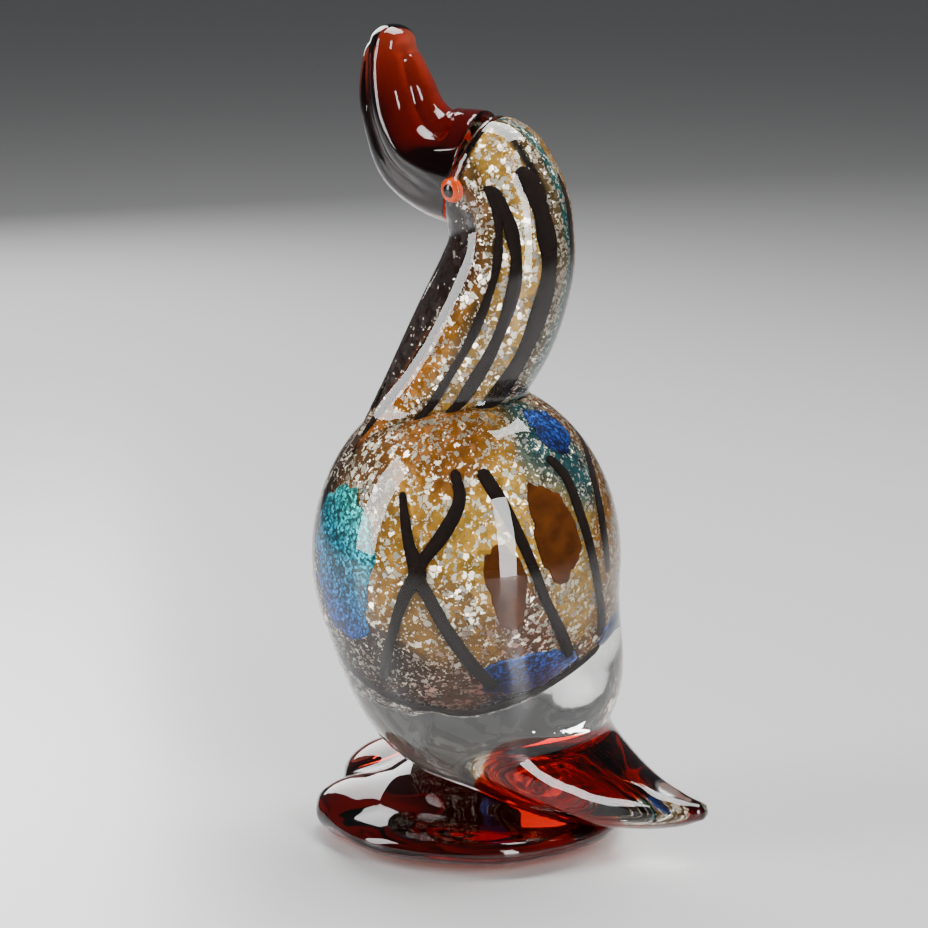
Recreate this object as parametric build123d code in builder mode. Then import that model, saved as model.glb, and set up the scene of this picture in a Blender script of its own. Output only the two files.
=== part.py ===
from build123d import *

import os
from math import cos, exp, radians, sin

# A solid art-glass bird, about 260 mm tall, worked hot from a few gathers of glass.
#
# The bird faces -Y with its bill in the air, its left side is +X, and it stands on z = 0.
# The origin is the centre of the foot's ground flat underside. Millimetres throughout.
#
# From the inside out: a decorated core in the body and another in the neck, with chips and
# threads of coloured glass laid on them, a clear casing over both that is drawn out into the
# tail, an amber bit inside the tail, and an amber bill, foot and two lampworked eyes.

# ---------------------------------------------------------------- driving dimensions
BODY_Y = -2.5  # the body core stands on this line, x = 0
CORE_Z = 95.0
CORE_R, CORE_HALF_H = 41.0, 49.0  # decorated core of the body
NECK_CORE_SHARE = 0.8  # the neck core's radius over its casing's
EYE_AT = (18.3, 0.9, 212.1)  # the left eye's middle, on the head's skin
EYE_LOOKS = (17.4, -5.75, -1.7)  # the way it faces
EYE_R, PUPIL_R = 3.9, 1.9
EYE_DEPTH, EYE_EDGE, EYE_TOP = 1.9, 0.3, 1.5  # under the skin, and above it at rim and middle
PUPIL_TOP, PUPIL_DOME = 1.9, 4.7  # height above the skin, and radius of the dome
HEAD_CORE_GAP = 2.2  # clear glass between the head core and the seam
SKIN = 0.2  # clear glass between the body core and what is laid on it
NECK_SKIN = 0.6  # the same over the neck core
CHIP_THICK = 0.9
THREAD_R = 1.3  # radius of the black threads on the body
RIM_THREAD_R = 1.0
FOOT_LOBES = ((-71.0, 20.0), (-110.0, 21.0))  # bearing and spread of the left and right toes

# the body's clear casing from the top down: height, centre y, radius
BODY = [
    (148.4, -2.5, 8.0),
    (145.5, -2.5, 17.1),
    (139.0, -2.5, 28.0),
    (127.0, -2.5, 39.1),
    (110.0, -2.5, 47.0),
    (92.0, -2.4, 49.5),
    (75.0, -1.0, 48.6),
    (60.0, 2.0, 46.0),
    (47.0, 5.5, 42.2),
    (37.0, 9.0, 37.5),
    (29.0, 11.5, 30.5),
    (23.5, 12.5, 20.0),
    (21.5, 12.5, 9.0),
]
# centre line of the neck, from inside the body to the seam with the bill: y, z, casing radius,
# rise of the line in degrees above straight ahead
NECK = [
    (-13.0, 97.0, 22.0, 60.0),
    (-21.5, 112.0, 28.0, 79.0),
    (-19.0, 127.0, 26.5, 110.0),
    (-8.5, 146.5, 22.4, 120.0),
    (5.0, 168.5, 22.2, 117.0),
    (12.0, 186.0, 20.7, 102.0),
    (13.2, 197.5, 19.5, 84.0),
    (12.2, 205.5, 19.4, 64.0),
    (8.2, 211.6, 19.3, 46.0),
    (0.7, 216.4, 18.4, 20.0),
]
# the bill, from the seam to the tip: y, z, half width, half depth, rise of its line in degrees
BILL = [
    (0.7, 216.4, 18.4, 18.4, 20.0),
    (-8.5, 217.7, 17.6, 17.6, 26.0),
    (-17.2, 221.9, 16.6, 16.0, 43.0),
    (-23.0, 230.3, 15.4, 13.2, 62.0),
    (-26.2, 240.1, 14.0, 11.7, 79.0),
    (-27.8, 249.5, 11.7, 9.2, 89.0),
    (-27.4, 255.5, 9.2, 6.7, 93.0),
    (-26.7, 258.7, 5.6, 4.0, 95.0),
    (-26.5, 260.0, 1.4, 1.0, 95.0),
]
BILL_GROOVES = (45.0, 117.0, 243.0, 315.0)  # degrees round from the bill's top
GROOVE_DEPTH, GROOVE_WIDTH = 0.13, 15.0  # share of the radius, and degrees
# the tail, from inside the body to the tip: y, z, half width, half depth, rise in degrees
TAIL = [
    (4.0, 45.0, 40.0, 22.0, -38.0),
    (26.0, 31.0, 34.0, 17.5, -31.0),
    (44.0, 22.3, 24.0, 12.6, -22.0),
    (59.0, 18.0, 14.5, 8.6, -11.0),
    (71.0, 16.7, 8.2, 5.4, 0.0),
    (79.0, 17.2, 3.8, 2.9, 6.0),
    (81.5, 17.5, 1.0, 0.8, 6.0),
]
# the amber bit inside the tail, laid out the same way
TAIL_BIT = [
    (24.0, 34.0, 6.0, 3.0, -31.0),
    (27.0, 31.5, 20.0, 9.5, -31.0),
    (36.0, 26.4, 22.0, 10.0, -26.0),
    (47.0, 21.6, 15.5, 7.4, -20.0),
    (57.0, 18.6, 6.5, 4.0, -12.0),
    (60.0, 18.1, 1.6, 1.0, -10.0),
]
# the foot in level slices: height, radius, and how far the left and right toes stand out
FOOT = [
    (0.0, 44.5, 2.5, 4.5),
    (2.5, 47.4, 3.0, 6.0),
    (8.0, 49.2, 3.8, 7.2),
    (12.0, 46.0, 5.5, 9.5),
    (15.5, 40.5, 7.5, 13.0),
    (18.5, 34.0, 6.0, 15.5),
    (21.5, 29.5, 1.5, 13.5),
    (24.5, 27.0, 0.0, 5.5),
    (28.0, 26.0, 0.0, 0.5),
    (33.0, 26.0, 0.0, 0.0),
]
# chips on the body core: name, bearing (0 is the bird's left, 90 its back), height z,
# half width, half height, lean in degrees
CHIPS = [
    ("teal_chip", -38.0, 95.0, 14.0, 22.0, 8.0),
    ("teal_chip", 196.0, 100.0, 12.0, 20.0, -10.0),
    ("cobalt_chip", 61.0, 63.5, 12.0, 6.5, 0.0),
    ("cobalt_chip", 93.0, 133.0, 7.0, 5.0, 0.0),
    ("cobalt_chip", 128.0, 68.0, 12.0, 7.0, 0.0),
    ("amber_chip", 42.0, 92.0, 5.5, 14.0, 12.0),
    ("amber_chip", 66.0, 107.0, 6.5, 14.0, 12.0),
    ("amber_chip", 140.0, 95.0, 7.0, 16.0, -10.0),
]
# black threads on the body core: bearing and height of each point, from the top down
BODY_THREADS = [
    [(-6, 119), (-2, 111), (1, 104), (5, 96), (0, 90), (-8, 77), (-16, 66), (-22, 61)],
    [(6.5, 91.5), (17, 79), (28, 67), (40, 60)],
    [(19, 126), (22, 118), (16, 109), (7.5, 103.5)],
    [(33, 126), (41, 117), (49, 105), (60, 86), (74, 71), (82, 66)],
    [(74, 127), (80, 121), (82, 108), (89, 89), (103, 69)],
    [(126, 127), (105, 119), (97, 105), (98, 90)],
    [(-60, 116), (-63, 103), (-65, 85), (-63, 76)],
    [(148, 126), (158, 106), (164, 84), (152, 60)],
    [(206, 119), (216, 104), (206, 84), (190, 60)],
    [(250, 98), (262, 84), (244, 60)],
]
# the thread round the foot of the body core, laid out the same way
RIM_THREAD = [(-62, 66), (-45, 58.5), (-25, 53.5), (0, 50.3), (25, 49.3), (55, 51), (85, 56), (112, 63)]
# black stripes on the neck core: degrees round from the bird's left towards its back at the
# bottom and the top of the neck, the thread's radius, and its first and last stations
NECK_STRIPES = [
    (-38.0, -30.0, 1.2, 2, 7),
    (13.0, 10.0, 1.1, 2, 8),
    (38.0, 20.0, 1.3, 3, 8),
    (66.0, 58.0, 1.5, 3, 8),
    (104.0, 108.0, 1.2, 3, 8),
    (146.0, 144.0, 1.4, 3, 8),
    (184.0, 180.0, 1.2, 2, 8),
    (222.0, 208.0, 1.2, 2, 7),
    (272.0, 270.0, 1.4, 2, 6),
]
ROUTE_STEPS = 3  # points on the core for each leg of a thread's route
SECTION_POINTS = 36  # points round each section of the bill and slice of the foot


# ---------------------------------------------------------------- shared construction
def tilted_plane(y, z, rise):
    """A plane across a line that leaves (0, y, z) forwards and up: x is the bird's left."""
    along = Vector(0, -cos(radians(rise)), sin(radians(rise)))
    return Plane(origin=(0, y, z), x_dir=(1, 0, 0), z_dir=along)


def spheroid(y, z, radius, half_height, grow=0.0):
    """A solid of revolution about a vertical axis, with an elliptical outline."""
    a, c = radius + grow, half_height + grow
    with BuildPart() as body:
        with BuildSketch(Plane.XZ):
            with BuildLine():
                EllipticalCenterArc((0, 0), a, c, start_angle=-90, arc_size=180)
                Line((0, c), (0, -c))
            make_face()
        revolve(axis=Axis.Z)
    return body.part.moved(Location((0, y, z)))


def neck_solid(share, gap=0.0):
    """The neck as a loft of circles at this share of its casing, ending a gap short of the seam."""
    with BuildPart() as neck:
        for y, z, r, rise in NECK[:-1]:
            with BuildSketch(tilted_plane(y, z, rise)):
                Circle(r * share)
        y, z, r, rise = NECK[-1]
        with BuildSketch(tilted_plane(y, z, rise).offset(-gap)):
            Circle(r * share)
        loft()
    return neck.part


def elliptical_loft(stations):
    """A loft of ellipses across a line in the bird's middle plane."""
    with BuildPart() as made:
        for y, z, half_width, half_depth, rise in stations:
            with BuildSketch(tilted_plane(y, z, 180 - rise)):
                Ellipse(half_width, half_depth)
        loft()
    return made.part


def level_loft(slices):
    """A loft of level circles."""
    with BuildPart() as made:
        for z, y, radius in slices:
            with BuildSketch(Plane.XY.offset(z)):
                with Locations((0, y)):
                    Circle(radius)
        loft()
    return made.part


def fluted_outline(half_width, half_depth, share):
    """Points round an ellipse with a groove pressed in at each of BILL_GROOVES."""
    points = []
    for i in range(SECTION_POINTS):
        turn = 360.0 * i / SECTION_POINTS
        pressed = 0.0
        for groove in BILL_GROOVES:
            off = (turn - groove + 180.0) % 360.0 - 180.0
            pressed += GROOVE_DEPTH * share * exp(-((off / GROOVE_WIDTH) ** 2))
        points.append(
            (
                half_width * sin(radians(turn)) * (1 - pressed),
                half_depth * cos(radians(turn)) * (1 - pressed),
            )
        )
    return points


def foot_outline(radius, toes):
    """Points round a level slice of the foot, a circle that swells out at each toe."""
    points = []
    for i in range(SECTION_POINTS):
        bearing = 360.0 * i / SECTION_POINTS - 180.0
        r = radius
        for (toe, spread), stands_out in zip(FOOT_LOBES, toes):
            r += stands_out * exp(-(((bearing - toe) / spread) ** 2))
        points.append((r * cos(radians(bearing)), r * sin(radians(bearing))))
    return points


def on_core(route, lift):
    """Close-set points this far off the body core along a smooth route of bearings and heights."""
    with BuildLine() as unrolled:
        Spline(route)
    steps = ROUTE_STEPS * (len(route) - 1)
    points = []
    for i in range(steps + 1):
        at = unrolled.line @ (i / steps)
        level = (at.Y - CORE_Z) / CORE_HALF_H
        r = CORE_R * (1 - level**2) ** 0.5
        out = Vector(r / CORE_R**2, 0, level / CORE_HALF_H).normalized() * lift
        spot = Vector(r + out.X, 0, at.Y + out.Z).rotate(Axis.Z, at.X)
        points.append(spot + Vector(0, BODY_Y, 0))
    return points


def thread(points, radius):
    """A round thread of glass along a smooth line through points."""
    with BuildPart() as made:
        with BuildLine() as line:
            Spline(points)
        with BuildSketch(Plane(origin=line.line @ 0, z_dir=line.line % 0)):
            Circle(radius)
        sweep()
    return made.part


def neck_line(start, end, radius, first, last):
    """Points along a thread of this radius that lies just clear of the neck core.

    It turns from bearing start at the bottom to end at the top.
    """
    points = []
    stations = NECK[first : last + 1]
    for i, (y, z, r, rise) in enumerate(stations):
        bearing = radians(start + (end - start) * i / (len(stations) - 1))
        plane = tilted_plane(y, z, rise)
        off = r * NECK_CORE_SHARE + NECK_SKIN + radius
        local = Vector(cos(bearing) * off, sin(bearing) * off, 0)
        points.append(plane.from_local_coords(local))
    return points


def chip(bearing, z, half_width, half_height, lean):
    """A thin oval wafer that follows the body core's surface just clear of it."""
    wafer = spheroid(BODY_Y, CORE_Z, CORE_R, CORE_HALF_H, SKIN + CHIP_THICK)
    wafer -= spheroid(BODY_Y, CORE_Z, CORE_R, CORE_HALF_H, SKIN)
    out = Vector(cos(radians(bearing)), sin(radians(bearing)), 0)
    with BuildPart() as window:
        with BuildSketch(Plane(origin=(0, BODY_Y, z), x_dir=(-out.Y, out.X, 0), z_dir=out)):
            Ellipse(half_width, half_height, rotation=lean)
        extrude(amount=CORE_R * 1.5)
    return wafer & window.part


def turned_button(bore, radius, depth, top, edge):
    """A bored button of glass about the z axis, domed from its bore at top down to its edge."""
    with BuildPart() as made:
        with BuildSketch(Plane.XZ):
            with BuildLine():
                Polyline((bore, top), (bore, -depth), (radius, -depth), (radius, edge))
                ThreePointArc((radius, edge), ((radius + bore) / 2, (edge + top * 2) / 3 + 0.12), (bore, top))
            make_face()
        revolve(axis=Axis.Z)
    return made.part


def flute_share(i):
    """How deep the bill's grooves run at station i: none at the seam or the tip."""
    return min(i / 2, (len(BILL) - 1 - i) / 2, 1.0)


def write(piece, name):
    """Labels a finished piece and writes it as its own STEP file."""
    piece.label = name
    export_step(piece, f"parts/{name}.step")
    print(f"{name}: {len(piece.solids())} solids, {piece.volume / 1000:.1f} cm3")


os.makedirs("parts", exist_ok=True)

# ---------------------------------------------------------------- whole volumes, before fitting
body_outside = level_loft(BODY) + elliptical_loft(TAIL)
core_whole = spheroid(BODY_Y, CORE_Z, CORE_R, CORE_HALF_H)
tail_bit_whole = elliptical_loft(TAIL_BIT)
neck_outside = neck_solid(1.0)
neck_core_whole = neck_solid(NECK_CORE_SHARE, HEAD_CORE_GAP)

# ---------------------------------------------------------------- threads on the two cores
with BuildPart() as body_threads:
    for route in BODY_THREADS:
        add(thread(on_core(route, SKIN + THREAD_R), THREAD_R))
with BuildPart() as core_rim_thread:
    add(thread(on_core(RIM_THREAD, SKIN + RIM_THREAD_R), RIM_THREAD_R))
with BuildPart() as neck_stripes:
    for start, end, radius, *stations in NECK_STRIPES:
        add(thread(neck_line(start, end, radius, *stations), radius))
    add(core_whole, mode=Mode.SUBTRACT)

# ---------------------------------------------------------------- the two decorated cores
with BuildPart() as body_core:
    add(core_whole)
with BuildPart() as neck_core:
    add(neck_core_whole)
    add(core_whole, mode=Mode.SUBTRACT)

# ---------------------------------------------------------------- chips laid on the body core
chips = {}
for kind in ("teal_chip", "cobalt_chip", "amber_chip"):
    with BuildPart() as chips[kind]:
        for name, *window in CHIPS:
            if name == kind:
                add(chip(*window))
        add(body_threads.part, mode=Mode.SUBTRACT)

# ---------------------------------------------------------------- clear casing, amber tail bit
with BuildPart() as tail_bit:
    add(tail_bit_whole)
inlaid = [body_threads.part, core_rim_thread.part, neck_stripes.part]
inlaid += [made.part for made in chips.values()]
with BuildPart() as body_casing:
    add(body_outside)
    add([core_whole, neck_core_whole, tail_bit_whole, *inlaid], mode=Mode.SUBTRACT)

# ---------------------------------------------------------------- lampworked eyes
rings, pupils, sockets = {}, {}, []
for side, x_sign in (("left", 1), ("right", -1)):
    look = Vector(x_sign * EYE_LOOKS[0], *EYE_LOOKS[1:])
    face = Plane(origin=(x_sign * EYE_AT[0], *EYE_AT[1:]), x_dir=(0, 0, 1), z_dir=look)
    ring_at_origin = turned_button(PUPIL_R, EYE_R, EYE_DEPTH, EYE_TOP, EYE_EDGE)
    with BuildPart() as rings[side]:
        add(face.location * ring_at_origin)
    pupil_height = PUPIL_TOP + EYE_DEPTH
    rod = Pos(0, 0, PUPIL_TOP - pupil_height / 2) * Cylinder(PUPIL_R, pupil_height)
    domed_rod = rod & Pos(0, 0, PUPIL_TOP - PUPIL_DOME) * Sphere(PUPIL_DOME)
    with BuildPart() as pupils[side]:
        add(face.location * domed_rod)
    with BuildPart() as socket:
        with BuildSketch(face.offset(-EYE_DEPTH)):
            Circle(EYE_R)
        extrude(amount=EYE_DEPTH + EYE_R)
    sockets.append(socket.part)

# ---------------------------------------------------------------- clear casing of neck and head
with BuildPart() as neck_casing:
    add(neck_outside)
    add([body_outside, neck_core_whole, neck_stripes.part, *sockets], mode=Mode.SUBTRACT)

# ---------------------------------------------------------------- amber bill and foot
with BuildPart() as bill:
    for i, (y, z, half_width, half_depth, rise) in enumerate(BILL):
        with BuildSketch(tilted_plane(y, z, rise)):
            with BuildLine():
                Spline(fluted_outline(half_width, half_depth, flute_share(i)), periodic=True)
            make_face()
    loft()
    add(sockets, mode=Mode.SUBTRACT)
with BuildPart() as foot:
    for z, radius, *toes in FOOT:
        with BuildSketch(Plane.XY.offset(z)):
            with BuildLine():
                Spline(foot_outline(radius, toes), periodic=True)
            make_face()
    loft()
    add(body_outside, mode=Mode.SUBTRACT)

write(foot.part, "foot")
write(body_core.part, "body_core")
write(neck_core.part, "neck_core")
write(body_threads.part, "body_threads")
write(core_rim_thread.part, "core_rim_thread")
write(neck_stripes.part, "neck_stripes")
for kind in chips:
    write(chips[kind].part, f"{kind}s")
write(tail_bit.part, "tail_bit")
write(body_casing.part, "body_casing")
write(neck_casing.part, "neck_casing")
write(bill.part, "bill")
for side in rings:
    write(rings[side].part, f"eye_ring_{side}")
    write(pupils[side].part, f"pupil_{side}")
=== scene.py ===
"""The looks of a solid art-glass bird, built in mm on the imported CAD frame.

The bird faces -Y, its left side is +X and it stands on z = 0. Bearings run round the vertical
from the bird's left (0) to its back (90). A decorated core lies in clear glass; its gold and
silver leaf, its black threads and its coloured chips are seen through the casing.
"""

import bpy
import numpy as np
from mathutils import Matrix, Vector


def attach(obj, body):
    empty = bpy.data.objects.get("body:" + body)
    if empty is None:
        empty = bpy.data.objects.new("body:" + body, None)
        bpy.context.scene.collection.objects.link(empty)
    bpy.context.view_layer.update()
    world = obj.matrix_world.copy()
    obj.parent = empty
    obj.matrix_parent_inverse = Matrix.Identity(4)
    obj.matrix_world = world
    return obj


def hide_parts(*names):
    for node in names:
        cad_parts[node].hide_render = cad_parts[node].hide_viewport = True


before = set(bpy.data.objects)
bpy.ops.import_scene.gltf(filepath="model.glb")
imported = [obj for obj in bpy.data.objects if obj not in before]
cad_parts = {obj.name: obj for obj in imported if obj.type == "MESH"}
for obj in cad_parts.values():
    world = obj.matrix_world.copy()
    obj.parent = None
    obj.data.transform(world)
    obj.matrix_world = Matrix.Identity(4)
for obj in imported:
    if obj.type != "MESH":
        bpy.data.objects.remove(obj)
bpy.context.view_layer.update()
MM = 0.001
COARSE = 1.0
rng = np.random.default_rng(11)

# ---------------------------------------------------------------- shapes, in mm
BODY_BALL = ((0.0, -2.5, 92.0), (49.5, 49.5, 57.0))
LOWER_BALL = ((0.0, 5.5, 56.0), (43.0, 43.0, 37.0))
CORE_BALL = ((0.0, -2.5, 95.0), (41.0, 41.0, 49.0))
HEAD_BALL = ((0.0, 6.5, 213.8), (19.5, 19.5, 19.5))
SEAM_AT, SEAM_TILT = (0.7, 216.4), 20.0
NECK_CORE_SHARE = 0.8
HEAD_CORE_GAP = 2.2
NECK = [
    (-13.0, 97.0, 22.0, 22.0),
    (-21.5, 112.0, 28.0, 28.0),
    (-19.0, 127.0, 26.5, 26.5),
    (-8.5, 146.5, 22.4, 22.4),
    (5.0, 168.5, 22.2, 22.2),
    (12.0, 186.0, 20.7, 20.7),
    (13.2, 197.5, 19.4, 19.4),
    (12.0, 206.0, 18.8, 18.8),
    (8.0, 212.5, 17.0, 17.0),
]
TAIL = [
    (4.0, 45.0, 40.0, 22.0),
    (26.0, 31.0, 34.0, 17.5),
    (44.0, 22.3, 24.0, 12.6),
    (59.0, 18.0, 14.5, 8.6),
    (71.0, 16.7, 8.2, 5.4),
    (79.0, 17.2, 3.8, 2.9),
]


def smooth_rows(rows, count):
    """A smooth run of rows through the given ones."""
    rows = np.array(rows, float)
    ends = np.vstack([2 * rows[0] - rows[1], rows, 2 * rows[-1] - rows[-2]])
    t = np.linspace(0, len(rows) - 1, count)
    i = np.minimum(t.astype(int), len(rows) - 2)
    u = (t - i)[:, None]
    a, b, c, d = ends[i], ends[i + 1], ends[i + 2], ends[i + 3]
    curve = 2 * b + (c - a) * u + (2 * a - 5 * b + 4 * c - d) * u**2
    return (curve + (3 * b - a - 3 * c + d) * u**3) / 2


class Swept:
    """A body swept along a line in the middle plane: rows of y, z, half width, half depth."""

    def __init__(self, rows, caps):
        self.rows = smooth_rows(rows, 96)
        step = np.gradient(self.rows, axis=0)
        length = np.hypot(step[:, 0], step[:, 1])
        self.along = step[:, :2] / length[:, None]
        self.swell = step[:, 2:] / length[:, None]
        self.caps = caps

    def local(self, y, z):
        """Nearest row, how far past either end, offset towards the top, half width and depth."""
        shape = np.broadcast(y, z).shape
        y, z = (np.broadcast_to(v, shape).ravel() for v in (y, z))
        near = np.empty(len(y), int)
        for s in range(0, len(y), 20000):
            e = s + 20000
            gap = (y[s:e, None] - self.rows[:, 0]) ** 2 + (z[s:e, None] - self.rows[:, 1]) ** 2
            near[s:e] = gap.argmin(1)
        dy, dz = y - self.rows[near, 0], z - self.rows[near, 1]
        ay, az = self.along[near].T
        run = dy * ay + dz * az
        off = dy * az - dz * ay
        last = len(self.rows) - 1
        past = np.where(near == 0, np.maximum(-run, 0) / self.caps[0], 0)
        past = past + np.where(near == last, np.maximum(run, 0) / self.caps[1], 0)
        inner = (near > 0) & (near < last)
        size = self.rows[near, 2:] + self.swell[near] * (run * inner)[:, None]
        t = near + run * inner / np.hypot(*np.gradient(self.rows[:, :2], axis=0).T)[near]
        return [v.reshape(shape) for v in (t, past, off, size[:, 0], size[:, 1])]

    def field(self, x, y, z, share=1.0):
        _, past, off, wide, deep = self.local(y, z)
        wide, deep = wide * share, deep * share
        k = np.sqrt((x / wide) ** 2 + (off / deep) ** 2 + past**2)
        return (k - 1) * np.minimum(wide, deep)


def ball(x, y, z, centre_size, grow=0.0):
    (cx, cy, cz), (rx, ry, rz) = centre_size
    rx, ry, rz = rx + grow, ry + grow, rz + grow
    x, y, z = x - cx, y - cy, z - cz
    k0 = np.sqrt((x / rx) ** 2 + (y / ry) ** 2 + (z / rz) ** 2)
    k1 = np.sqrt((x / rx**2) ** 2 + (y / ry**2) ** 2 + (z / rz**2) ** 2)
    return k0 * (k0 - 1) / np.maximum(k1, 1e-6)


def join(a, b, soft):
    h = np.clip(0.5 + 0.5 * (b - a) / soft, 0, 1)
    return b * (1 - h) + a * h - soft * h * (1 - h)


def cut(a, b, soft):
    return -join(-a, -b, soft)


def ahead_of_seam(y, z):
    tilt = np.radians(SEAM_TILT)
    return (SEAM_AT[0] - y) * np.cos(tilt) + (z - SEAM_AT[1]) * np.sin(tilt)


neck_sweep = Swept(NECK, (22.0, 17.0))
tail_sweep = Swept(TAIL, (10.0, 2.2))


def body_field(x, y, z):
    f = join(ball(x, y, z, BODY_BALL), ball(x, y, z, LOWER_BALL), 12.0)
    return join(f, tail_sweep.field(x, y, z), 5.0)


def neck_field(x, y, z):
    f = join(neck_sweep.field(x, y, z), ball(x, y, z, HEAD_BALL), 4.0)
    return cut(f, ahead_of_seam(y, z), 1.2)


def casing_field(x, y, z):
    return join(body_field(x, y, z), neck_field(x, y, z), 3.0)


def neck_core_field(x, y, z):
    (cx, cy, cz), (r, _, _) = HEAD_BALL
    r = r * NECK_CORE_SHARE
    f = join(neck_sweep.field(x, y, z, NECK_CORE_SHARE), ball(x, y, z, ((cx, cy, cz), (r, r, r))), 4.0)
    return cut(f, ahead_of_seam(y, z) + HEAD_CORE_GAP, 1.5)


def core_field(x, y, z):
    return ball(x, y, z, CORE_BALL)


# ---------------------------------------------------------------- bill, foot and tail bit
BILL = [
    (0.9, 216.3, 18.4, 18.4),
    (-8.5, 217.7, 17.6, 17.6),
    (-17.2, 221.9, 16.6, 16.0),
    (-23.0, 230.3, 15.4, 13.2),
    (-26.2, 240.1, 14.0, 11.7),
    (-27.8, 249.5, 11.7, 9.0),
    (-27.6, 254.5, 9.4, 6.6),
]
BILL_GROOVES = (45.0, 117.0, 243.0, 315.0)
GROOVE_DEPTH, GROOVE_WIDTH = 0.15, 15.0
TAIL_BIT = [
    (16.0, 34.0, 20.0, 7.0),
    (27.0, 30.4, 24.0, 9.4),
    (38.0, 25.0, 20.0, 8.8),
    (48.0, 21.0, 12.0, 6.0),
    (54.0, 19.2, 6.0, 3.6),
]
FOOT_TOES = ((13.0, -24.5, 8.0, 22.0, 10.4), (-17.0, -29.0, 9.0, 23.0, 13.6))
bill_sweep = Swept(BILL, (1.0, 5.6))
bit_sweep = Swept(TAIL_BIT, (6.0, 4.0))


def bill_field(x, y, z):
    row, past, off, wide, deep = bill_sweep.local(y, z)
    turn = np.degrees(np.arctan2(x, off)) % 360
    pressed = 0
    for groove in BILL_GROOVES:
        pressed = pressed + np.exp(-(((turn - groove) / GROOVE_WIDTH) ** 2))
    pressed = pressed * GROOVE_DEPTH * np.clip(row / 24, 0, 1) * np.clip((99 - row) / 22, 0, 1)
    size = 1 - pressed
    k = np.sqrt((x / wide / size) ** 2 + (off / deep / size) ** 2 + past**2)
    f = (k - 1) * np.minimum(wide, deep)
    return cut(f, 0.12 - ahead_of_seam(y, z), 0.8)


def foot_field(x, y, z):
    puddle = ball(x, y, z, ((0.0, 0.0, 7.5), (48.6, 48.6, 10.5)))
    r = np.sqrt(x * x + y * y)
    puddle = join(puddle, ball(x, y, z, ((0.0, 5.0, 12.0), (34.0, 36.0, 17.0))), 6.0)
    f = puddle
    for cx, cy, cz, wide, high in FOOT_TOES:
        toe = ball(x, y, z, ((cx, cy, cz), (wide, wide + 1.5, high)))
        ribs = np.cos((x - cx) * 0.62 + 0.4) * np.clip((cz + 6 - z) / 12, 0, 1)
        f = join(f, toe + 0.35 * ribs, 3.0)
    f = f + 0.25 * np.sin(np.arctan2(y, x) * 7 + 0.5) * np.clip((r - 25) / 20, 0, 1)
    f = cut(f, -z, 1.6)
    return cut(f, 0.1 - body_field(x, y, z), 0.6)


# ---------------------------------------------------------------- meshes
def gradient(field, v, h=0.02):
    g = np.empty_like(v)
    for i in range(3):
        step = np.zeros(3)
        step[i] = h
        g[:, i] = field(*(v + step).T) - field(*(v - step).T)
    return g / (2 * h)


def settle(field, v, times=4):
    """Moves points onto the field's surface."""
    for _ in range(times):
        g = gradient(field, v)
        v = v - g * (field(*v.T) / np.maximum((g * g).sum(1), 1e-3))[:, None]
    return v


def skin_of(field, low, high, step):
    """A quad mesh of the field's surface inside the box, one vertex to each cell it crosses."""
    axes = [np.arange(a, b + step, step) for a, b in zip(low, high)]
    x, y, z = axes[0][:, None, None], axes[1][None, :, None], axes[2][None, None, :]
    f = np.broadcast_to(field(x, y, z), [len(a) for a in axes])
    inside = f < 0
    size = [n - 1 for n in f.shape]
    total, count = np.zeros([*size, 3]), np.zeros(size)
    for axis in range(3):
        a = np.moveaxis(f, axis, 0)
        low_end, high_end = a[:-1], a[1:]
        crosses = (low_end < 0) != (high_end < 0)
        gap = np.where(crosses, low_end - high_end, 1)
        at = np.where(crosses, low_end / gap, 0)
        other = [i for i in range(3) if i != axis]
        for p in (0, 1):
            for q in (0, 1):
                part = (slice(None), slice(p, p + size[other[0]]), slice(q, q + size[other[1]]))
                hit = np.moveaxis(crosses[part], 0, axis)
                count += hit
                total[..., axis] += np.where(hit, np.moveaxis(at[part], 0, axis), 0)
                total[..., other[0]] += hit * p
                total[..., other[1]] += hit * q
    cells = np.argwhere(count > 0)
    index = -np.ones(size, int)
    index[tuple(cells.T)] = np.arange(len(cells))
    where = tuple(cells.T)
    v = (cells + total[where] / count[where][:, None]) * step + np.array([a[0] for a in axes])
    quads = []
    for axis in range(3):
        b, c = (axis + 1) % 3, (axis + 2) % 3
        turned = np.transpose(inside, (axis, b, c))
        ids = np.transpose(index, (axis, b, c))
        edge = turned[:-1, 1:-1, 1:-1] != turned[1:, 1:-1, 1:-1]
        i, j, k = np.nonzero(edge)
        out = turned[:-1, 1:-1, 1:-1][i, j, k]
        quad = np.stack([ids[i, j, k], ids[i, j + 1, k], ids[i, j + 1, k + 1], ids[i, j, k + 1]], 1)
        quads.append(np.where(out[:, None], quad, quad[:, ::-1]))
    quads = np.vstack(quads)
    quads = quads[(quads >= 0).all(1)]
    for _ in range(3):
        v = settle(field, v, 2)
        v = settle(field, relax(v, quads), 2)
    return settle(field, v, 3), quads


def relax(v, quads):
    """Every vertex moved half way to the mean of its neighbours."""
    total, count = np.zeros_like(v), np.zeros(len(v))
    for i in range(4):
        for j in (i - 1, (i + 1) % 4):
            np.add.at(total, quads[:, i], v[quads[:, j]])
            np.add.at(count, quads[:, i], 1)
    return (v + total / np.maximum(count, 1)[:, None]) / 2


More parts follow.
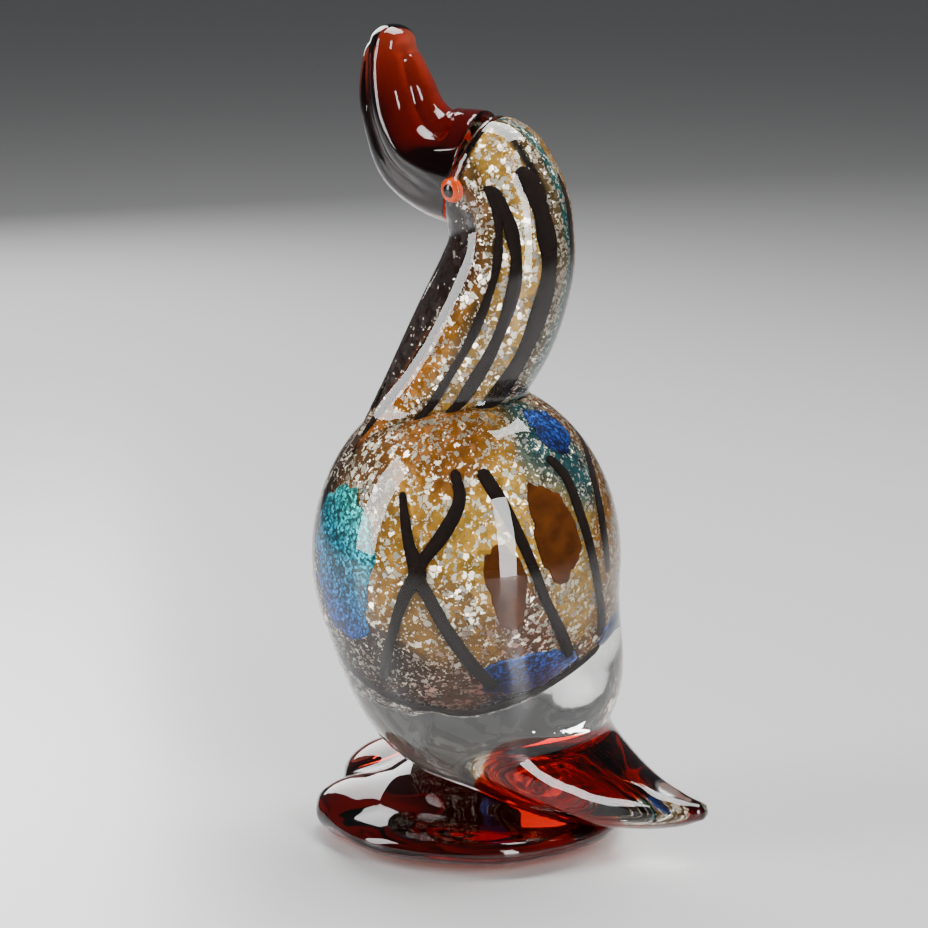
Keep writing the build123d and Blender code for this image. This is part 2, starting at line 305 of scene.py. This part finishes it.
def piece(name, v, faces, material, stands_for, slot, tints=None):
    """A named mesh in the scene that rides on the bird."""
    mesh = bpy.data.meshes.new(name)
    mesh.from_pydata((np.asarray(v) * MM).tolist(), [], [list(map(int, f)) for f in faces])
    mesh.validate()
    mesh.shade_smooth()
    for label, colours in (tints or {}).items():
        layer = mesh.color_attributes.new(label, "FLOAT_COLOR", "POINT")
        layer.data.foreach_set("color", np.asarray(colours, float).ravel())
    mesh.materials.append(material)
    made = bpy.data.objects.new(name, mesh)
    bpy.context.scene.collection.objects.link(made)
    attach(made, "root")
    if stands_for:
        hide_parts(*stands_for)
    return made


def tube(line, radii, normals, flat, sides=14):
    """A rounded thread along a line, flattened against the surface with these normals."""
    line, radii = np.asarray(line), np.asarray(radii)
    along = np.gradient(line, axis=0)
    along /= np.linalg.norm(along, axis=1)[:, None]
    side = np.cross(along, normals)
    side /= np.linalg.norm(side, axis=1)[:, None]
    out = np.cross(side, along)
    turn = np.linspace(0, 2 * np.pi, sides, endpoint=False)
    ring = side[:, None] * np.cos(turn)[:, None] + out[:, None] * np.sin(turn)[:, None] * flat
    v = (line[:, None] + ring * radii[:, None, None]).reshape(-1, 3)
    faces = []
    for i in range(len(line) - 1):
        for j in range(sides):
            k = (j + 1) % sides
            a, b = i * sides, (i + 1) * sides
            faces.append((a + j, a + k, b + k, b + j))
    faces.append(tuple(range(sides - 1, -1, -1)))
    faces.append(tuple(range(len(v) - sides, len(v))))
    return v, faces


def gather(parts):
    """Several meshes as one."""
    verts, faces, start = [], [], 0
    for v, f in parts:
        verts.append(v)
        faces += [tuple(i + start for i in face) for face in f]
        start += len(v)
    return np.vstack(verts), faces


def on_core(bearing, z, lift=0.0):
    """Points on the body core, and its normals there."""
    (_, cy, cz), (r, _, half) = CORE_BALL
    bearing, z = np.radians(np.asarray(bearing, float)), np.asarray(z, float)
    level = np.clip((z - cz) / half, -0.999, 0.999)
    ring = r * np.sqrt(1 - level**2)
    normal = np.stack([ring / r**2 * np.cos(bearing), ring / r**2 * np.sin(bearing), level / half], -1)
    normal /= np.linalg.norm(normal, axis=-1)[..., None]
    at = np.stack([ring * np.cos(bearing), cy + ring * np.sin(bearing), z], -1)
    return at + normal * lift, normal


def core_thread(route, radius, lift):
    """A thread along a route of bearing, height and share of the radius."""
    rows = smooth_rows([(*r, 1.0) if len(r) == 2 else r for r in route], 16 * len(route))
    line, normals = on_core(rows[:, 0], rows[:, 1], lift)
    ends = np.minimum(np.arange(len(rows)), np.arange(len(rows))[::-1])
    radii = radius * rows[:, 2] * np.sqrt(np.clip((ends + 0.6) / 3, 0, 1))
    return tube(line, radii, normals, 0.8)


def on_neck(row, bearing, lift):
    """Points on the neck core at these rows of its line, and its normals there."""
    row = np.clip(np.asarray(row, float), 0, 95)
    i = np.minimum(row.astype(int), 94)
    u = (row - i)[:, None]
    line = neck_sweep.rows[i] * (1 - u) + neck_sweep.rows[i + 1] * u
    along = neck_sweep.along[i]
    c, s = np.cos(np.radians(bearing)), np.sin(np.radians(bearing))
    back = np.stack([0 * c, along[:, 1], -along[:, 0]], -1)
    normal = back * s[:, None] + np.stack([c, 0 * c, 0 * c], -1)
    start = np.stack([0 * c, line[:, 0], line[:, 1]], -1)
    at = start + normal * (line[:, 2] * NECK_CORE_SHARE)[:, None]
    at = settle(neck_core_field, at, 3)
    return at + normal * lift, normal


# ---------------------------------------------------------------- materials
def material(name):
    """A new material and short ways to add and link its nodes."""
    made = bpy.data.materials.new(name)
    made.use_nodes = True
    tree = made.node_tree
    tree.nodes.clear()

    def node(kind, **values):
        new = tree.nodes.new(kind)
        for key, value in values.items():
            if key in new.inputs:
                new.inputs[key].default_value = value
            else:
                setattr(new, key, value)
        return new

    def link(source, target):
        tree.links.new(source, target)

    return made, node, link


def math(node, link, operation, a, b=None, c=None):
    new = node("ShaderNodeMath", operation=operation)
    for i, value in enumerate((a, b, c)):
        if hasattr(value, "links"):
            link(value, new.inputs[i])
        elif value is not None:
            new.inputs[i].default_value = value
    return new.outputs[0]


def blend_colour(node, link, share, a, b):
    new = node("ShaderNodeMix", data_type="RGBA")
    for socket, value in ((new.inputs[0], share), (new.inputs[6], a), (new.inputs[7], b)):
        if hasattr(value, "links"):
            link(value, socket)
        else:
            socket.default_value = value
    return new.outputs[2]


def clear_glass():
    made, node, link = material("clear_glass")
    glass = node("ShaderNodeBsdfPrincipled", Roughness=0.0, IOR=1.5)
    glass.inputs["Base Color"].default_value = (0.975, 0.99, 0.965, 1)
    glass.inputs["Transmission Weight"].default_value = 1.0
    through = node("ShaderNodeBsdfTransparent", Color=(0.94, 0.96, 0.93, 1))
    path = node("ShaderNodeLightPath")
    mix = node("ShaderNodeMixShader")
    link(path.outputs["Is Shadow Ray"], mix.inputs[0])
    link(glass.outputs[0], mix.inputs[1])
    link(through.outputs[0], mix.inputs[2])
    out = node("ShaderNodeOutputMaterial")
    link(mix.outputs[0], out.inputs["Surface"])
    return made


def tinted_glass(name, colour, density, ior):
    made, node, link = material(name)
    glass = node("ShaderNodeBsdfPrincipled", Roughness=0.0, IOR=ior)
    glass.inputs["Base Color"].default_value = (1, 1, 1, 1)
    glass.inputs["Transmission Weight"].default_value = 1.0
    soak = node("ShaderNodeVolumeAbsorption", Color=(*colour, 1), Density=density)
    out = node("ShaderNodeOutputMaterial")
    link(glass.outputs[0], out.inputs["Surface"])
    link(soak.outputs[0], out.inputs["Volume"])
    return made


def opaque_glass(name, colour, mottle=0.35, scale=400.0, sheen=0.5):
    """Dense glass with faint streaks in its colour; cased in clear glass it has no sheen."""
    made, node, link = material(name)
    where = node("ShaderNodeTexCoord")
    noise = node("ShaderNodeTexNoise", Scale=scale, Detail=4.0)
    link(where.outputs["Object"], noise.inputs["Vector"])
    dark = tuple(c * (1 - mottle) for c in colour)
    tint = blend_colour(node, link, noise.outputs["Fac"], (*colour, 1), (*dark, 1))
    body = node("ShaderNodeBsdfPrincipled", Roughness=0.12, IOR=1.5)
    body.inputs["Specular IOR Level"].default_value = sheen
    link(tint, body.inputs["Base Color"])
    out = node("ShaderNodeOutputMaterial")
    link(body.outputs[0], out.inputs["Surface"])
    return made


def leaf(node, link, warped, grain, cover):
    """Ragged crumbs of leaf: a mask, and a random value for each crumb."""
    cells = node("ShaderNodeTexVoronoi", Scale=grain, feature="F1")
    edges = node("ShaderNodeTexVoronoi", Scale=grain, feature="DISTANCE_TO_EDGE")
    link(warped, cells.inputs["Vector"])
    link(warped, edges.inputs["Vector"])
    split = node("ShaderNodeSeparateColor")
    link(cells.outputs["Color"], split.inputs[0])
    chosen = math(node, link, "LESS_THAN", split.outputs[0], cover)
    whole = math(node, link, "GREATER_THAN", edges.outputs["Distance"], 0.075)
    return math(node, link, "MULTIPLY", chosen, whole), cells.outputs["Color"]


def leafed_core(name, metal):
    """Coloured ground under two sizes of leaf crumb; tints come from the mesh."""
    made, node, link = material(name)
    where = node("ShaderNodeTexCoord")
    warp = node("ShaderNodeTexNoise", Scale=620.0, Detail=3.0)
    link(where.outputs["Object"], warp.inputs["Vector"])
    push = node("ShaderNodeVectorMath", operation="MULTIPLY_ADD")
    link(warp.outputs["Color"], push.inputs[0])
    push.inputs[1].default_value = (0.0026, 0.0026, 0.0026)
    link(where.outputs["Object"], push.inputs[2])
    ground = node("ShaderNodeVertexColor", layer_name="ground")
    cover = node("ShaderNodeVertexColor", layer_name="cover")
    part = node("ShaderNodeSeparateColor")
    link(cover.outputs["Color"], part.inputs[0])
    big, big_rand = leaf(node, link, push.outputs[0], 560.0, part.outputs[0])
    fine, fine_rand = leaf(node, link, push.outputs[0], 1500.0, part.outputs[1])
    mask = math(node, link, "MAXIMUM", big, fine)
    mottle = node("ShaderNodeTexNoise", Scale=160.0, Detail=6.0, Roughness=0.65)
    link(where.outputs["Object"], mottle.inputs["Vector"])
    shade = node("ShaderNodeMapRange")
    link(mottle.outputs["Fac"], shade.inputs["Value"])
    shade.inputs["From Min"].default_value = 0.3
    shade.inputs["From Max"].default_value = 0.7
    shade.inputs["To Min"].default_value = 0.45
    shade.inputs["To Max"].default_value = 1.35
    dyed = node("ShaderNodeVectorMath", operation="SCALE")
    link(ground.outputs["Color"], dyed.inputs[0])
    link(shade.outputs[0], dyed.inputs["Scale"])
    colour = blend_colour(node, link, mask, dyed.outputs[0], (*metal, 1))
    body = node("ShaderNodeBsdfPrincipled", IOR=1.5)
    body.inputs["Specular IOR Level"].default_value = 0.1
    link(colour, body.inputs["Base Color"])
    link(math(node, link, "MULTIPLY_ADD", mask, 0.7, 0.2), body.inputs["Metallic"])
    link(math(node, link, "MULTIPLY_ADD", mask, -0.12, 0.42), body.inputs["Roughness"])
    shape = node("ShaderNodeNewGeometry")
    tip = node("ShaderNodeVectorMath", operation="MULTIPLY_ADD")
    link(big_rand, tip.inputs[0])
    tip.inputs[1].default_value = (0.7, 0.7, 0.7)
    offset = node("ShaderNodeVectorMath", operation="ADD")
    link(shape.outputs["Normal"], offset.inputs[0])
    offset.inputs[1].default_value = (-0.35, -0.35, -0.35)
    link(offset.outputs[0], tip.inputs[2])
    unit = node("ShaderNodeVectorMath", operation="NORMALIZE")
    link(tip.outputs[0], unit.inputs[0])
    link(unit.outputs[0], body.inputs["Normal"])
    out = node("ShaderNodeOutputMaterial")
    link(body.outputs[0], out.inputs["Surface"])
    return made


def dichroic(name, low, high, grain):
    """A coloured metal film broken into fine bright grains, blended from its low to its high colour by
    painted light from the mesh: each chip lighter towards its top and one side.
    """
    made, node, link = material(name)
    where = node("ShaderNodeTexCoord")
    tints = node("ShaderNodeVertexColor", layer_name="shade")
    split = node("ShaderNodeSeparateColor")
    link(tints.outputs["Color"], split.inputs[0])
    # painted light: the mesh's shade layer gives the high colour to each chip's top and one side, as if
    # lit from there
    base = blend_colour(node, link, split.outputs[0], (*low, 1), (*high, 1))
    cells = node("ShaderNodeTexVoronoi", Scale=grain)
    link(where.outputs["Object"], cells.inputs["Vector"])
    rand = node("ShaderNodeSeparateColor")
    link(cells.outputs["Color"], rand.inputs[0])
    peak = math(node, link, "POWER", rand.outputs[0], 3.0)
    bright = math(node, link, "MULTIPLY_ADD", peak, 4.5, 0.2)
    scaled = node("ShaderNodeVectorMath", operation="SCALE")
    link(base, scaled.inputs[0])
    link(bright, scaled.inputs["Scale"])
    body = node("ShaderNodeBsdfPrincipled", Metallic=0.6, Roughness=0.35)
    link(scaled.outputs[0], body.inputs["Base Color"])
    out = node("ShaderNodeOutputMaterial")
    link(body.outputs[0], out.inputs["Surface"])
    return made


CLEAR = clear_glass()
AMBER = tinted_glass("amber_glass", (0.70, 0.22, 0.05), 290.0, 1.5)
FOOT_AMBER = tinted_glass("amber_glass_foot", (0.75, 0.20, 0.03), 125.0, 1.5)
AMBER_INSIDE = tinted_glass("amber_glass_inside", (0.86, 0.24, 0.02), 330.0, 1.0)
BLACK = opaque_glass("black_glass", (0.012, 0.008, 0.007), sheen=0.0)
PUPIL_BLACK = opaque_glass("pupil_glass", (0.012, 0.008, 0.007))
ORANGE = opaque_glass("orange_glass", (0.62, 0.06, 0.003), 0.3, 900.0)
CANE = opaque_glass("amber_cane", (0.11, 0.03, 0.005), 0.95, 230.0, 0.0)
TEAL = dichroic("teal_dichroic", (0.0, 0.03, 0.20), (0.0, 0.17, 0.16), 1250.0)
COBALT = dichroic("cobalt_dichroic", (0.002, 0.006, 0.05), (0.004, 0.035, 0.2), 1250.0)
BODY_LEAF = leafed_core("body_core_decoration", (0.86, 0.80, 0.66))
NECK_LEAF = leafed_core("neck_core_decoration", (0.88, 0.82, 0.70))

# ---------------------------------------------------------------- the two cores
# patches of ground colour on the body core: bearing, height, spread across and up in mm,
# red, green, blue, then the share covered by coarse and by fine leaf
BODY_GROUND = [
    (-62, 96, 14, 60, 0.035, 0.014, 0.007, 0.30, 0.45),
    (-34, 112, 16, 22, 0.20, 0.085, 0.02, 0.40, 0.30),
    (-20, 62, 26, 12, 0.06, 0.018, 0.006, 0.16, 0.42),
    (-2, 112, 13, 20, 0.50, 0.26, 0.05, 0.42, 0.25),
    (8, 128, 22, 12, 0.34, 0.13, 0.02, 0.38, 0.30),
    (14, 82, 16, 18, 0.36, 0.19, 0.045, 0.42, 0.25),
    (14, 60, 24, 10, 0.13, 0.055, 0.015, 0.22, 0.45),
    (34, 104, 14, 24, 0.62, 0.36, 0.08, 0.50, 0.25),
    (30, 78, 14, 14, 0.33, 0.17, 0.04, 0.40, 0.30),
    (52, 82, 12, 14, 0.16, 0.055, 0.012, 0.42, 0.25),
    (74, 98, 12, 26, 0.44, 0.26, 0.08, 0.50, 0.30),
    (88, 122, 16, 14, 0.02, 0.10, 0.16, 0.12, 0.45),
    (70, 58, 24, 9, 0.02, 0.03, 0.09, 0.10, 0.30),
    (104, 92, 12, 34, 0.30, 0.14, 0.03, 0.40, 0.30),
    (130, 110, 18, 24, 0.20, 0.08, 0.02, 0.40, 0.30),
    (150, 72, 24, 20, 0.30, 0.17, 0.05, 0.42, 0.30),
    (182, 96, 18, 40, 0.46, 0.25, 0.06, 0.46, 0.28),
    (214, 78, 20, 26, 0.16, 0.06, 0.015, 0.34, 0.40),
    (244, 100, 20, 30, 0.34, 0.16, 0.035, 0.42, 0.30),
    (272, 76, 22, 30, 0.07, 0.028, 0.01, 0.28, 0.45),
    (278, 112, 22, 20, 0.18, 0.07, 0.018, 0.36, 0.40),
]
# lengthwise bands on the neck core: bearing, row along the neck, spread in degrees and rows,
# colour, coarse and fine cover
NECK_GROUND = [
    (-88, 50, 26, 90, 0.035, 0.008, 0.004, 0.02, 0.04),
    (-50, 50, 24, 90, 0.03, 0.009, 0.005, 0.02, 0.05),
    (-19, 66, 10, 26, 0.10, 0.035, 0.012, 0.22, 0.45),
    (-20, 38, 12, 12, 0.40, 0.13, 0.015, 0.30, 0.30),
    (-10, 44, 12, 14, 0.46, 0.20, 0.025, 0.38, 0.25),
    (-10, 74, 14, 24, 0.24, 0.10, 0.03, 0.44, 0.35),
    (4, 50, 9, 60, 0.20, 0.11, 0.04, 0.50, 0.35),
    (24, 50, 11, 60, 0.52, 0.30, 0.08, 0.56, 0.25),
    (50, 50, 11, 60, 0.50, 0.29, 0.09, 0.56, 0.25),
    (67, 62, 8, 44, 0.012, 0.008, 0.008, 0.02, 0.05),
    (84, 60, 10, 60, 0.16, 0.10, 0.05, 0.52, 0.35),
    (97, 60, 7, 60, 0.01, 0.14, 0.20, 0.20, 0.45),
    (120, 50, 14, 70, 0.40, 0.21, 0.06, 0.50, 0.30),
    (150, 50, 13, 70, 0.02, 0.012, 0.012, 0.04, 0.06),
    (176, 50, 15, 70, 0.36, 0.18, 0.05, 0.50, 0.30),
    (206, 50, 14, 70, 0.18, 0.07, 0.02, 0.40, 0.40),
    (232, 50, 13, 70, 0.02, 0.04, 0.12, 0.14, 0.45),
    (254, 50, 10, 90, 0.04, 0.012, 0.006, 0.06, 0.10),
]


def zone_tints(across, up, zones, per_degree):
    """Ground colour and leaf cover at each vertex, from the nearest zones."""
    zones = np.array(zones, float)
    share = np.zeros((len(across), len(zones)))
    for i, zone in enumerate(zones):
        gap = ((across - zone[0] + 180) % 360 - 180) * per_degree / zone[2]
        share[:, i] = np.exp(-1.6 * (gap**2 + ((up - zone[1]) / zone[3]) ** 2))
    share = np.maximum(share, 1e-9) ** 2.2
    share /= share.sum(1, keepdims=True)
    mixed = share @ zones[:, 4:]
    one = np.ones((len(across), 1))
    ground = np.hstack([mixed[:, :3] ** 1.2 * (0.6, 0.62, 0.42), one])
    cover = np.hstack([mixed[:, 3:4] * 0.9, mixed[:, 4:5] * 0.42, 0 * one, one])
    return {"ground": ground, "cover": cover}


def wander(across, up, size, amount):
    """A little waviness, so that no zone has a ruled edge."""
    a = np.sin(up / size + 2 * np.sin(np.radians(across * 3))) + 0.6 * np.sin(up / size * 2.3 + 1.7)
    return across + amount * a


v, quads = skin_of(core_field, (-43, -46, 44), (43, 41, 146), 1.3 * COARSE)
bearing = np.degrees(np.arctan2(v[:, 1] + 2.5, v[:, 0]))
tints = zone_tints(wander(bearing, v[:, 2], 6.0, 3.0), v[:, 2], BODY_GROUND, 0.7)
piece("body_core_glass", v, quads, BODY_LEAF, ["body_core"], "body_core_decoration", tints)


def whole_neck(x, y, z):
    return cut(neck_core_field(x, y, z), -0.05 - core_field(x, y, z), 0.3)


v, quads = skin_of(whole_neck, (-26, -50, 96), (26, 34, 236), 1.3 * COARSE)
row, _, off, _, _ = neck_sweep.local(v[:, 1], v[:, 2])
bearing = np.degrees(np.arctan2(off, v[:, 0]))
tints = zone_tints(wander(bearing, row, 9.0, 2.5), row, NECK_GROUND, 1.0)
piece("neck_core_glass", v, quads, NECK_LEAF, ["neck_core"], "neck_core_decoration", tints)

# ---------------------------------------------------------------- threads on the cores
BODY_THREADS = [
    [(-6, 119, 0.7), (-2, 111, 1.0), (1, 104, 1.2), (5, 96, 1.8), (0, 90, 1.3), (-8, 77, 1.0), (-16, 66, 1.1), (-22, 60, 0.8)],
    [(4, 95, 1.3), (9, 90, 1.3), (17, 79, 1.3), (28, 67, 1.3), (42, 58, 1.0)],
    [(19, 126, 0.9), (22, 118, 1.2), (16, 109, 1.4), (8, 101, 1.2), (5, 97, 1.3)],
    [(33, 126, 1.3), (41, 117, 1.4), (49, 105, 1.1), (60, 86, 1.0), (74, 71, 1.2), (82, 65, 0.9)],
    [(74, 127, 1.0), (80, 121, 1.2), (82, 108, 1.2), (89, 89, 1.1), (103, 68, 1.2)],
    [(126, 127, 0.9), (105, 119, 1.1), (97, 105, 1.2), (98, 90, 0.9)],
    [(-60, 116, 0.9), (-63, 103, 1.3), (-65, 85, 1.3), (-63, 74, 1.0)],
    [(148, 126, 1.0), (158, 106, 1.3), (164, 84, 1.2), (152, 60, 1.0)],
    [(206, 119, 0.9), (216, 104, 1.3), (206, 84, 1.5), (190, 60, 1.0)],
    [(250, 98, 0.9), (262, 84, 1.3), (244, 60, 1.0)],
]
RIM_THREAD = [(-62, 66), (-45, 58.5), (-25, 53.5), (0, 50.3), (25, 49.3), (55, 51), (85, 56), (112, 63)]
# bearing at the bottom, middle and top of the neck, half width, first and last row
NECK_STRIPES = [
    (-27, -24, -22, 1.2, 24, 88),
    (13, 10, 12, 1.3, 24, 94),
    (35, 32, 13, 1.9, 30, 93),
    (61, 68, 52, 3.0, 34, 93),
    (104, 107, 108, 1.5, 34, 86),
    (146, 150, 140, 2.4, 34, 90),
    (184, 186, 180, 1.2, 26, 90),
    (222, 216, 208, 1.3, 24, 90),
    (272, 268, 270, 1.6, 24, 84),
]

parts = [core_thread(route, 1.6, 0.35) for route in BODY_THREADS]
piece("body_thread_glass", *gather(parts), BLACK, ["body_threads"], "black_glass")
piece("rim_thread_glass", *core_thread(RIM_THREAD, 1.3, 0.35), BLACK, ["core_rim_thread"], "black_glass")
parts = []
for low, mid, high, width, first, last in NECK_STRIPES:
    rows = np.linspace(first, last, 90)
    turn = np.interp(rows, (first, (first + last) / 2, last), (low, mid, high))
    turn = np.convolve(np.pad(turn, 12, mode="edge"), np.ones(25) / 25, mode="valid")
    line, normals = on_neck(rows, turn, 0.3)
    ends = np.minimum(np.arange(90), np.arange(90)[::-1])
    radii = width * (1 + 0.12 * np.sin(rows * 0.4 + low)) * np.sqrt(np.clip((ends + 0.5) / 7, 0, 1))
    parts.append(tube(line, radii, normals, 0.65))
piece("neck_stripe_glass", *gather(parts), BLACK, ["neck_stripes"], "black_glass")

# ---------------------------------------------------------------- chips on the body core
CHIPS = {
    "teal_chips": [(-38, 95, 15.5, 23, 8), (196, 100, 12, 20, -10)],
    "cobalt_chips": [(61, 62, 15, 7, 0), (93, 132, 8, 6, 0), (128, 68, 12, 7, 0)],
    "amber_chips": [(42, 92, 6, 14, 12), (66, 106, 8, 15, 12), (140, 95, 7, 16, -10)],
}


def chip(bearing, z, wide, high, lean, seed):
    """A thin wafer of glass pressed on to the core, with an uneven oval edge, and a painted light shade
    that is lighter towards its top and one side.
    """
    radii = np.append(np.linspace(0.04, 0.94, 15), (0.975, 1.0))
    turn = np.linspace(0, 2 * np.pi, 72, endpoint=False)
    ragged = 1 + 0.07 * np.sin(3 * turn + seed) + 0.05 * np.sin(5 * turn + 2 * seed)
    ragged = ragged + 0.03 * np.sin(11 * turn + 3 * seed) + 0.02 * np.sin(17 * turn + seed)
    a = radii[:, None] * np.cos(turn) * wide * ragged
    b = radii[:, None] * np.sin(turn) * high * ragged
    tilt = np.radians(lean)
    across, up = a * np.cos(tilt) - b * np.sin(tilt), a * np.sin(tilt) + b * np.cos(tilt)
    heights = z + up
    ring = CORE_BALL[1][0] * np.sqrt(1 - np.clip((heights - CORE_BALL[0][2]) / 49, -0.99, 0.99) ** 2)
    bearings = bearing + np.degrees(across / np.maximum(ring, 12))
    lift = np.where(radii > 0.99, -0.2, np.where(radii > 0.96, 0.25, 0.5))[:, None] + 0 * turn
    v, _ = on_core(bearings.ravel(), heights.ravel(), lift.ravel()[:, None])
    n = len(turn)
    faces = [tuple(range(n))]
    for i in range(len(radii) - 1):
        for j in range(n):
            k = (j + 1) % n
            faces.append((i * n + j, (i + 1) * n + j, (i + 1) * n + k, i * n + k))
    faces.append(tuple(range(len(v) - 1, len(v) - n - 1, -1)))
    # painted light: the shade is lighter towards the chip's top and towards one side, as if lit from above
    shade = np.clip(0.5 + 0.5 * (b / high) + 0.25 * (a / wide), 0, 1).ravel()
    return (v, faces), shade


CHIP_GLASS = (("teal_dichroic", TEAL), ("cobalt_dichroic", COBALT), ("amber_cane", CANE))
for (name, rows), (finish, made_of) in zip(CHIPS.items(), CHIP_GLASS):
    parts, painted_light_shades = zip(*(chip(*row, i * 1.7 + 0.4) for i, row in enumerate(rows)))
    shade = np.concatenate(painted_light_shades)
    tints = {"shade": np.stack([shade, shade, shade, np.ones_like(shade)], 1)}
    piece(name.replace("chips", "chip_glass"), *gather(parts), made_of, [name], finish, tints)

# ---------------------------------------------------------------- clear, amber and the eyes
v, quads = skin_of(casing_field, (-53, -57, 2), (53, 86, 240), 1.5 * COARSE)
piece("clear_casing", v, quads, CLEAR, ["body_casing", "neck_casing"], "clear_glass")
v, quads = skin_of(bit_sweep.field, (-28, 4, 6), (28, 64, 50), 1.0 * COARSE)
piece("tail_bit_glass", v, quads, AMBER_INSIDE, ["tail_bit"], "amber_glass")
v, quads = skin_of(bill_field, (-22, -42, 190), (22, 14, 264), 0.8 * COARSE)
piece("bill_glass", v, quads, AMBER, ["bill"], "amber_glass")
v, quads = skin_of(foot_field, (-56, -62, -2), (56, 56, 36), 1.0 * COARSE)
v[:, 2] = np.maximum(v[:, 2], 0)
piece("foot_glass", v, quads, FOOT_AMBER, ["foot"], "amber_glass")


def button(profile, at, looks, sides=48):
    """A turned shape from rows of radius and height, set on the head facing a given way."""
    looks = np.array(looks) / np.linalg.norm(looks)
    side = np.cross(looks, (0, 0, 1))
    side /= np.linalg.norm(side)
    up = np.cross(side, looks)
    turn = np.linspace(0, 2 * np.pi, sides, endpoint=False)
    ring = np.cos(turn)[:, None] * side + np.sin(turn)[:, None] * up
    rows = [np.array(at) + r * ring + h * looks for r, h in profile]
    faces = []
    for i in range(len(profile) - 1):
        for j in range(sides):
            k = (j + 1) % sides
            faces.append((i * sides + j, i * sides + k, (i + 1) * sides + k, (i + 1) * sides + j))
    return np.vstack(rows), faces


dome = np.linspace(0, np.pi / 2, 14)
RING = [(3.9, -1.7)] + [(2.1 + 1.8 * np.cos(a), -0.1 + 1.4 * np.sin(a)) for a in dome] + [(2.1, -1.7)]
RING += [(3.9, -1.7)]
PUPIL = [(0.02, -1.5), (2.25, -1.5), (2.25, 0.9)]
PUPIL += [(2.23 * np.cos(a) + 0.02, 0.9 + 0.9 * np.sin(a)) for a in dome[1:]]
for side, x_sign in (("left", 1), ("right", -1)):
    at, looks = (x_sign * 18.3, 0.9, 212.1), (x_sign * 17.4, -5.75, -1.7)
    piece(f"eye_ring_{side}_glass", *button(RING, at, looks), ORANGE, [f"eye_ring_{side}"], "orange_glass")
    piece(f"pupil_{side}_glass", *button(PUPIL, at, looks), PUPIL_BLACK, [f"pupil_{side}"], "black_glass")

# ---------------------------------------------------------------- floor, light and camera
def plain(name, colour, rough):
    made, node, link = material(name)
    where = node("ShaderNodeTexCoord")
    noise = node("ShaderNodeTexNoise", Scale=90.0, Detail=3.0)
    link(where.outputs["Object"], noise.inputs["Vector"])
    dim = tuple(c * 0.985 for c in colour)
    tint = blend_colour(node, link, noise.outputs["Fac"], (*colour, 1), (*dim, 1))
    body = node("ShaderNodeBsdfPrincipled", Roughness=rough)
    link(tint, body.inputs["Base Color"])
    out = node("ShaderNodeOutputMaterial")
    link(body.outputs[0], out.inputs["Surface"])
    return made


mesh = bpy.data.meshes.new("floor")
turn = np.linspace(0, 2 * np.pi, 96, endpoint=False)
mesh.from_pydata([(3 * np.cos(a), 3 * np.sin(a), -0.0002) for a in turn], [], [tuple(range(96))])
mesh.materials.append(plain("floor", (0.62, 0.62, 0.62), 0.28))
floor = bpy.data.objects.new("floor", mesh)
bpy.context.scene.collection.objects.link(floor)

world = bpy.data.worlds.new("studio")
world.use_nodes = True
world.node_tree.nodes["Background"].inputs["Color"].default_value = (0.62, 0.63, 0.65, 1)
world.node_tree.nodes["Background"].inputs["Strength"].default_value = 0.14
bpy.context.scene.world = world

CAMERA_TURN, CAMERA_RISE, CAMERA_FAR = 115.0, 13.0, 1.2
target = Vector((0, -0.0032, 0.1215))


def towards(turn, rise):
    """The way to a lamp or camera at this azimuth and elevation."""
    a, e = np.radians(turn), np.radians(rise)
    return Vector((np.sin(a) * np.cos(e), -np.cos(a) * np.cos(e), np.sin(e)))


def softbox(name, turn, rise, far, wide, high, watts):
    lamp = bpy.data.lights.new(name, "AREA")
    lamp.shape = "RECTANGLE"
    lamp.size, lamp.size_y, lamp.energy = wide, high, watts
    made = bpy.data.objects.new(name, lamp)
    made.location = target + towards(turn, rise) * far
    made.rotation_euler = towards(turn, rise).to_track_quat("Z", "Y").to_euler()
    bpy.context.scene.collection.objects.link(made)


softbox("strip_right", CAMERA_TURN + 30, 10, 0.9, 0.2, 0.9, 11)
softbox("strip_left", CAMERA_TURN - 78, 22, 0.9, 0.3, 0.8, 10)
softbox("overhead", CAMERA_TURN + 150, 68, 0.9, 0.7, 0.5, 16)
softbox("far_side", CAMERA_TURN + 200, 25, 1.1, 0.4, 0.8, 8)

camera = bpy.data.objects.new("camera", bpy.data.cameras.new("camera"))
camera.data.lens = 146.6
camera.data.clip_start = 0.05
camera.location = target + towards(CAMERA_TURN, CAMERA_RISE) * CAMERA_FAR
camera.rotation_euler = towards(CAMERA_TURN, CAMERA_RISE).to_track_quat("Z", "Y").to_euler()
bpy.context.scene.collection.objects.link(camera)
bpy.context.scene.camera = camera
